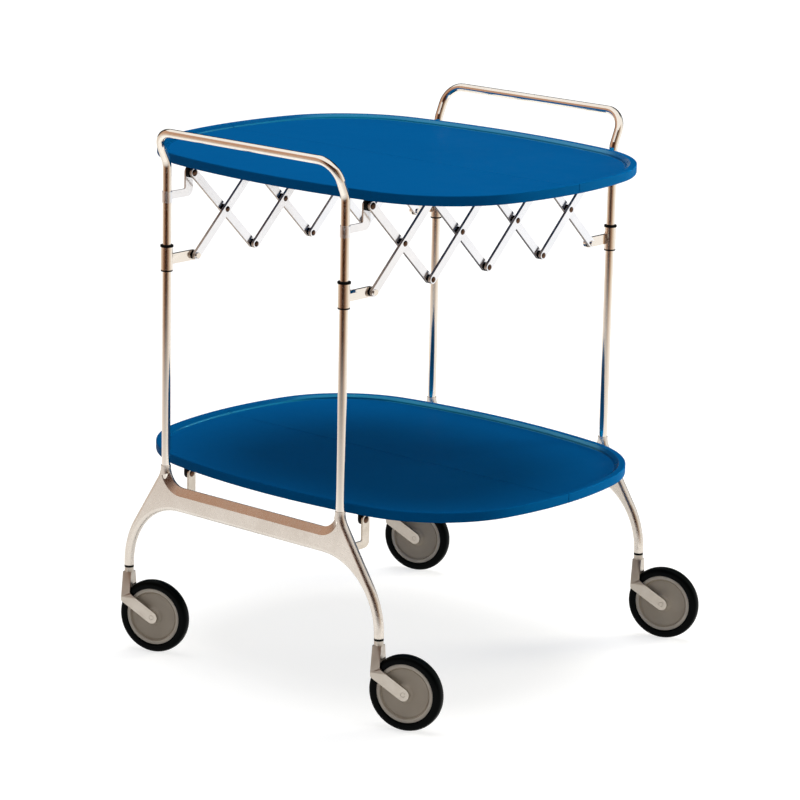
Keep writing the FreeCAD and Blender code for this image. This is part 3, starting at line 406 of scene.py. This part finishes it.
def makeWheel(side, row, shape):
    low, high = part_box(f"wheel_tyre_{side}_{row}")
    centre = (Vector(low) + Vector(high)) / 2
    turn = Matrix.Rotation(math.radians(shape["heading"] - 90), 4, "Z")
    parts = {
        "tyre": ([blackRubber], "black_rubber", "wheel_tyre"),
        "disc": ([greyDisc, discRimHighlight], "grey_plastic", "wheel_hub"),
    }
    for part, (materials, slot, node) in parts.items():
        bm = bmesh.new()
        spinProfile(bm, wholeProfile(shape[part]), shape["steps"])
        sealMesh(bm)
        for face in bm.faces:
            middle = face.calc_center_median()
            # disc faces beyond this radius take the painted highlight
            isHighlight = part == "disc" and math.hypot(middle.x, middle.z) > shape["highlightFrom"] * mm
            face.material_index = int(isHighlight)
        bmesh.ops.transform(bm, matrix=Matrix.Translation(centre) @ turn, verts=bm.verts)
        finishPiece(f"{part}_{side}_{row}", bm, materials, f"{side}_{row}_wheel",
                    [f"{node}_{side}_{row}"], shape["crease"])


for sideName in sides:
    for rowName in rows:
        makeWheel(sideName, rowName, wheelShape)
print("wheels modelled")

# rivets and pivot pins: places along X and Z, layers and heads along Y, in millimetres; the dome's curve
# is in parts of its rise and of the head's radius
rivetShape = {
    "rowY": 151, "pitch": 108, "topZ": 634.5, "crossZ": 581.75, "collarZ": 529, "lowZ": 241, "hingeX": 216,
    "rivet": {"radius": 2.5, "head": 3.8, "dome": 1.6}, "pin": {"radius": 3, "head": 4.5, "dome": 1.5},
    "domeCurve": [(1.0, 0.0), (0.93, 0.38), (0.68, 0.7), (0.3, 0.92), (0.0, 1.0)],
    "front": -11.0, "back": -0.7, "openBack": -5.3, "steps": 28, "crease": 50,
    "pinFront": {"top_left": -5.3, "top_right": -11.3, "low_left": -3.5, "low_right": -9.5},
    "pinBack": {"top_left": 7.1, "top_right": 1.1, "low_left": 4.6, "low_right": -1.4},
}
# pivots of each rising link, as (place in pitches, level, whether its back is open)
risingPivots = {
    1: [(-1.5, "crossZ", 0), (-1, "topZ", 0)],
    2: [(-1, "collarZ", 0), (-0.5, "crossZ", 0), (0, "topZ", 1)],
    3: [(0, "collarZ", 1), (0.5, "crossZ", 0), (1, "topZ", 0)],
    4: [(1, "collarZ", 0), (1.5, "crossZ", 0)],
}


# one mesh added to another, and let go
def joinMesh(bm, single):
    scratch = bpy.data.meshes.new("scratch")
    single.to_mesh(scratch)
    single.free()
    bm.from_mesh(scratch)
    bpy.data.meshes.remove(scratch)


# a pin with domed heads between two places along Y
def spinPin(bm, shape, kind, x, front, back, z, tail=True):
    radius, head, dome = (shape[kind][size] for size in ("radius", "head", "dome"))
    cap = [(dome * rise, head * out) for rise, out in shape["domeCurve"]]
    profile = [(front - rise, out) for rise, out in cap] + [(front, radius), (back, radius)]
    profile += [(back + rise, out) for rise, out in reversed(cap)] if tail else [(back, 0.0)]
    single = bmesh.new()
    line = [single.verts.new((0, axial * mm, out * mm)) for axial, out in profile]
    edges = [single.edges.new(pair) for pair in zip(line, line[1:])]
    bmesh.ops.spin(single, geom=line + edges, cent=(0, 0, 0), axis=(0, 1, 0), angle=math.tau,
                   steps=shape["steps"], use_merge=True)
    sealMesh(single)
    bmesh.ops.translate(single, verts=single.verts, vec=(x * mm, 0, z * mm))
    joinMesh(bm, single)


def makeRivets(number, shape):
    bm = bmesh.new()
    for sign in rows.values():
        base = sign * shape["rowY"]
        for place, level, isOpen in risingPivots[number]:
            back = shape["openBack"] if isOpen else shape["back"]
            spinPin(bm, shape, "rivet", place * shape["pitch"], base + shape["front"], base + back,
                    shape[level], not isOpen)
    finishPiece(f"scissorRivets_{number}", bm, [rivetPaintedReflection], f"rising_{number}",
                [f"scissor_rivets_{number}"], shape["crease"])


def makePins(side, shape):
    bm = bmesh.new()
    for level in ("top", "low"):
        for sign in rows.values():
            base = sign * shape["rowY"]
            front = base + shape["pinFront"][f"{level}_{side}"]
            back = base + shape["pinBack"][f"{level}_{side}"]
            spinPin(bm, shape, "pin", sides[side] * shape["hingeX"], front, back, shape[f"{level}Z"])
    finishPiece(f"pivotPins_{side}", bm, [rivetPaintedReflection], f"{side}_frame", [f"pivot_pins_{side}"],
                shape["crease"])


for rivetNumber in risingPivots:
    makeRivets(rivetNumber, rivetShape)
for sideName in sides:
    makePins(sideName, rivetShape)
print("rivets and pins turned")

# pressed, moulded and cast pieces that keep the CAD form with their edges broken: edge radius in
# millimetres, and on strip steel the reach from the middle within which faces across it are sheared edges
# with painted shade
brokenEdges = {
    "falling_links": {"ease": 0.4, "slot": "plated_steel", "sheared": 260},
    "rising_links": {"ease": 0.4, "slot": "plated_steel", "sheared": 260},
    "scissor_spacers": {"ease": 0.3, "slot": "black_plastic"},
    "top_brackets": {"ease": 0.4, "slot": "plated_steel", "sheared": 251.5},
    "tray_lugs": {"ease": 0.45, "slot": "plated_steel"},
    "collars": {"ease": 0.5, "slot": "cast_alloy"},
    "collar_rings": {"ease": 0.5, "slot": "black_plastic"},
    "top_tray_clips": {"ease": 0.6, "slot": "black_plastic"},
    "low_tray_clips": {"ease": 0.6, "slot": "black_plastic"},
    "top_hinge_leaves": {"ease": 0.3, "slot": "plated_steel"},
    "low_hinge_leaves": {"ease": 0.3, "slot": "plated_steel"},
    "lug_screws": {"ease": 0.4, "slot": "plated_steel"},
    "caster_fork": {"ease": 0.5, "slot": "cast_alloy"},
}
# angles in degrees: faces flatter than the first become one, shading creases past the second, and edges
# sharper than the third are broken; a face across the strip has less than this share of its normal along Y
edgeRules = {"flat": 0.6, "crease": 40, "sharp": 42, "segments": 2, "across": 0.5}


# the body that carries a CAD node, read from the node's name
def bodyOf(node):
    words = node.split("_")
    stem = node.rsplit("_", 1)[0]
    if stem in ("falling_links", "rising_links"):
        return f"{words[0]}_{words[-1]}"
    if stem == "scissor_spacers":
        return f"rising_{words[-1]}"
    if stem in ("collars", "collar_rings"):
        return f"{words[-1]}_collars"
    if words[0] in ("top", "low") and words[1] != "brackets":
        return f"{words[0]}_{words[-1]}_half"
    if words[0] == "caster":
        return f"{words[-2]}_{words[-1]}_caster"
    return f"{words[-1]}_frame"


def breakEdges(node, source, settings, rules):
    sheared = settings.get("sheared", 0)
    bm = bmesh.new()
    bm.from_mesh(source.data)
    bmesh.ops.remove_doubles(bm, verts=bm.verts, dist=mergeGap)
    bmesh.ops.dissolve_limit(bm, angle_limit=math.radians(rules["flat"]), verts=bm.verts, edges=bm.edges)
    # faces across the strip take the sheared edge finish, which carries painted shade
    for face in bm.faces:
        face.normal_update()
        isAcross = abs(face.normal.y) < rules["across"]
        if isAcross and abs(face.calc_center_median().x) < sheared * mm:
            face.material_index = 1
    materials = [finishFor(node), shearedEdgeAndShade] if sheared else [finishFor(node)]
    piece = finishPiece(f"{node}_eased", bm, materials, bodyOf(node), [node],
                        rules["crease"])
    ease = piece.modifiers.new("brokenEdge", "BEVEL")
    ease.width = settings["ease"] * mm
    ease.segments = rules["segments"]
    ease.limit_method = "ANGLE"
    ease.angle_limit = math.radians(rules["sharp"])
    ease.harden_normals = True


for nodeName, nodeObject in list(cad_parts.items()):
    for stemName, edgeSettings in brokenEdges.items():
        if nodeName.startswith(stemName):
            breakEdges(nodeName, nodeObject, edgeSettings, edgeRules)
print("edges broken")

# black rings, in millimetres: one at each caster's swivel and one at the foot of each collar
blackRingShape = {
    "swivel": {"place": (260, 218), "low": 109.6, "inner": 4.2, "outer": 6.15, "height": 3.1, "ease": 0.5},
    "collar": {"place": (260, 151), "low": 513.4, "inner": 7.0, "outer": 7.6, "height": 2.0, "ease": 0.2},
    "steps": 48, "crease": 35,
}


# a ring turned about an upright line
def turnBlackRing(bm, shape, side, row, steps):
    profile = [(0, shape["inner"], 0), (0, shape["outer"], shape["ease"]),
               (shape["height"], shape["outer"], shape["ease"]), (shape["height"], shape["inner"], 0)]
    single = bmesh.new()
    spinProfile(single, profile, steps)
    sealMesh(single)
    place = Vector((sides[side] * shape["place"][0], rows[row] * shape["place"][1], shape["low"])) * mm
    upright = Matrix.Translation(place) @ Matrix.Rotation(math.radians(90), 4, "X")
    bmesh.ops.transform(single, matrix=upright, verts=single.verts)
    joinMesh(bm, single)


for sideName in sides:
    collarBlackRings = bmesh.new()
    for rowName in rows:
        turnBlackRing(collarBlackRings, blackRingShape["collar"], sideName, rowName, blackRingShape["steps"])
        swivelBlackRing = bmesh.new()
        turnBlackRing(swivelBlackRing, blackRingShape["swivel"], sideName, rowName, blackRingShape["steps"])
        finishPiece(f"swivelBlackRing_{sideName}_{rowName}", swivelBlackRing, [blackNylon],
                    f"{sideName}_{rowName}_caster", [], blackRingShape["crease"])
    finishPiece(f"collarBlackRings_{sideName}", collarBlackRings, [blackNylon], f"{sideName}_collars", [],
                blackRingShape["crease"])
print("seals turned")

# camera at the photograph's viewing angle, in metres and degrees
cameraView = {"place": (-3.2250, -2.8307, 1.4010), "yaw": 48.899, "pitch": -14.04, "roll": 1.225,
              "lens": 152.79, "sensor": 36.0, "farthest": 100}


def makeCamera(view):
    data = bpy.data.cameras.new("photoCamera")
    data.lens = view["lens"]
    data.sensor_width = view["sensor"]
    data.clip_end = view["farthest"]
    camera = bpy.data.objects.new("photoCamera", data)
    bpy.context.scene.collection.objects.link(camera)
    aim = Matrix.Rotation(math.radians(-view["yaw"]), 4, "Z")
    aim = aim @ Matrix.Rotation(math.radians(90 + view["pitch"]), 4, "X")
    aim = aim @ Matrix.Rotation(math.radians(view["roll"]), 4, "Z")
    camera.matrix_world = Matrix.Translation(view["place"]) @ aim
    bpy.context.scene.camera = camera


makeCamera(cameraView)

# plain white surround: white where it is seen or mirrored, a soft grey fill for everything else
surround = {"seen": 1.0, "fill": 0.26}


def makeWorld(settings):
    world = bpy.data.worlds.new("whiteSurround")
    bpy.context.scene.world = world
    world.use_nodes = True
    tree = world.node_tree
    tree.nodes.clear()
    path = addNode(tree, "ShaderNodeLightPath")
    seen = addNode(tree, "ShaderNodeMath", {"operation": "MAXIMUM"},
                   {0: path.outputs["Is Camera Ray"], 1: path.outputs["Is Glossy Ray"]})
    seen = addNode(tree, "ShaderNodeMath", {"operation": "MAXIMUM"},
                   {0: seen.outputs[0], 1: path.outputs["Is Transmission Ray"]})
    strength = addNode(tree, "ShaderNodeMapRange", {"To Min": settings["fill"], "To Max": settings["seen"]},
                       {"Value": seen.outputs[0]})
    shade = addNode(tree, "ShaderNodeBackground", {"Color": plainWhite},
                    {"Strength": strength.outputs["Result"]})
    addNode(tree, "ShaderNodeOutputWorld", {}, {"Surface": shade.outputs[0]})


makeWorld(surround)

# pale paper floor that keeps the trolley's shadow: size and drop in metres, and its glow where it is seen
paperFloor = {"size": 30.0, "colour": "#AAAAAA", "lift": 0.73, "drop": 0.0002}


def makeFloor(settings):
    bm = bmesh.new()
    bmesh.ops.create_grid(bm, x_segments=1, y_segments=1, size=settings["size"] / 2)
    bmesh.ops.translate(bm, verts=bm.verts, vec=(0, 0, -settings["drop"]))
    floor = placeMesh("paperFloor", bm)
    material, tree = newMaterial("palePaper")
    path = addNode(tree, "ShaderNodeLightPath")
    paper = addNode(tree, "ShaderNodeBsdfDiffuse", {"Color": hexColour(settings["colour"])})
    seen = addNode(tree, "ShaderNodeMath", {"operation": "MAXIMUM"},
                   {0: path.outputs["Is Camera Ray"], 1: path.outputs["Is Glossy Ray"]})
    lift = addNode(tree, "ShaderNodeMath", {"operation": "MULTIPLY", 1: settings["lift"]},
                   {0: seen.outputs[0]})
    glow = addNode(tree, "ShaderNodeEmission", {"Color": plainWhite}, {"Strength": lift.outputs[0]})
    both = addNode(tree, "ShaderNodeAddShader", {}, {0: paper.outputs[0], 1: glow.outputs[0]})
    addNode(tree, "ShaderNodeOutputMaterial", {}, {"Surface": both.outputs[0]})
    floor.data.materials.append(material)


makeFloor(paperFloor)

# painted reflections: a glowing surround that only gloss sees, in metres: a wall, a higher wall above it
# and a floor, with tones by the angle from the camera's side, positive to its right, in degrees
paintedReflectionRing = {
    "radius": 5.0, "low": 0.12, "high": 4.0, "top": 8.0, "near": 0.9, "fade": 1.4, "rise": 0.002,
    "steps": 72,
    "wall": {-180: "#02080C", -132: "#02080C", -116: "#CDA890", -66: "#BC937A", -46: "#5A3A2A",
             -12: "#2A160A", 20: "#5A3A2A", 60: "#D8C6B0", 80: "#FFFFFF", 118: "#FFFFFF", 132: "#02080C",
             180: "#02080C"},
    "upper": {-180: "#FFFFFF", 100: "#FFFFFF", 118: "#02080C", 166: "#02080C", 180: "#FFFFFF"},
    "floor": {-180: "#FAF8F4", -128: "#EFE8DF", -89: "#CDB29C", -60: "#8E664A", -35: "#4A2C1A",
              -12: "#1E0C04", 12: "#6A4A34", 35: "#AE9078", 60: "#DCCBB8", 86: "#F4EBE0", 96: "#FFFFFF",
              128: "#FFFFFF", 180: "#FAF8F4"},
}


# a glowing ring of painted reflection, swept about the middle of the floor from one upright or level line,
# with its tones round it
def makePaintedReflectionRing(name, first, last, tones, settings):
    bm = bmesh.new()
    ends = [bm.verts.new(first), bm.verts.new(last)]
    line = bm.edges.new(ends)
    bmesh.ops.spin(bm, geom=ends + [line], cent=(0, 0, 0), axis=(0, 0, 1), angle=math.tau,
                   steps=settings["steps"], use_merge=True)
    ring = placeMesh(name, bm)
    material, tree = newMaterial(name)
    toCamera = math.atan2(cameraView["place"][1], cameraView["place"][0])
    coords = addNode(tree, "ShaderNodeTexCoord").outputs["Object"]
    turned = addNode(tree, "ShaderNodeMapping", {"vector_type": "TEXTURE", "Rotation": (0, 0, toCamera)},
                     {"Vector": coords}).outputs["Vector"]
    axes = addNode(tree, "ShaderNodeSeparateXYZ", {}, {"Vector": turned})
    angle = addNode(tree, "ShaderNodeMath", {"operation": "ARCTAN2"},
                    {0: axes.outputs["Y"], 1: axes.outputs["X"]})
    place = addNode(tree, "ShaderNodeMapRange", {"From Min": -math.pi, "From Max": math.pi},
                    {"Value": angle.outputs[0]})
    ramp = addNode(tree, "ShaderNodeValToRGB", {}, {"Fac": place.outputs["Result"]})
    stops = ramp.color_ramp.elements
    while len(stops) < len(tones):
        stops.new(0.5)  # anywhere: each gets its place below
    for stop, (degrees, code) in zip(stops, tones.items()):
        stop.position = degrees / 360 + 0.5
        stop.color = hexColour(code)
    away = addNode(tree, "ShaderNodeVectorMath", {"operation": "LENGTH"}, {0: coords})
    fade = addNode(tree, "ShaderNodeMapRange",
                   {"From Min": settings["near"], "From Max": settings["near"] + settings["fade"]},
                   {"Value": away.outputs["Value"]})
    colour = addNode(tree, "ShaderNodeMix", {"data_type": "RGBA", 6: plainWhite},
                     {"Factor": fade.outputs["Result"], 7: ramp.outputs["Color"]})
    # the painted reflection glows with its tones and is hidden from the camera, diffuse light and shadows
    glow = addNode(tree, "ShaderNodeEmission", {"Strength": 1.0}, {"Color": colour.outputs[2]})
    addNode(tree, "ShaderNodeOutputMaterial", {}, {"Surface": glow.outputs[0]})
    ring.data.materials.append(material)
    ring.visible_camera = False
    ring.visible_diffuse = False
    ring.visible_transmission = False
    ring.visible_shadow = False


ringRadius = paintedReflectionRing["radius"]
makePaintedReflectionRing("paintedReflectionWall", (ringRadius, 0, paintedReflectionRing["low"]), (ringRadius, 0, paintedReflectionRing["high"]),
         paintedReflectionRing["wall"], paintedReflectionRing)
makePaintedReflectionRing("paintedReflectionUpper", (ringRadius, 0, paintedReflectionRing["high"]), (ringRadius, 0, paintedReflectionRing["top"]),
         paintedReflectionRing["upper"], paintedReflectionRing)
makePaintedReflectionRing("paintedReflectionFloor", (paintedReflectionRing["near"], 0, paintedReflectionRing["rise"]),
         (ringRadius, 0, paintedReflectionRing["rise"]), paintedReflectionRing["floor"], paintedReflectionRing)

# soft lamps, kept out of the gloss: a broad low key from the right, in metres and watts, and an even
# overhead sky, whose size is an angle in degrees
lamps = {
    "keyPanel": {"kind": "AREA", "place": (3.25, -1.75, 0.75), "size": 1.3, "power": 180,
                 "colour": "#FFF8E6"},
    "softSky": {"kind": "SUN", "place": (0.4, 0.3, 4.0), "size": 42, "power": 2.1, "colour": "#FFFFFF"},
}
lampAim = (0, 0, 0.4)


def makeLamp(name, settings):
    data = bpy.data.lights.new(name, settings["kind"])
    if settings["kind"] == "SUN":
        data.angle = math.radians(settings["size"])
    else:
        data.shape = "SQUARE"
        data.size = settings["size"]
    data.energy = settings["power"]
    data.color = hexColour(settings["colour"])[:3]
    lamp = bpy.data.objects.new(name, data)
    bpy.context.scene.collection.objects.link(lamp)
    lamp.visible_glossy = False
    aim = Vector(lampAim) - Vector(settings["place"])
    turn = aim.to_track_quat("-Z", "Y").to_matrix().to_4x4()
    lamp.matrix_world = Matrix.Translation(settings["place"]) @ turn


for lampName, lampSettings in lamps.items():
    makeLamp(lampName, lampSettings)
bpy.context.scene.view_settings.view_transform = "Standard"
print("studio set")
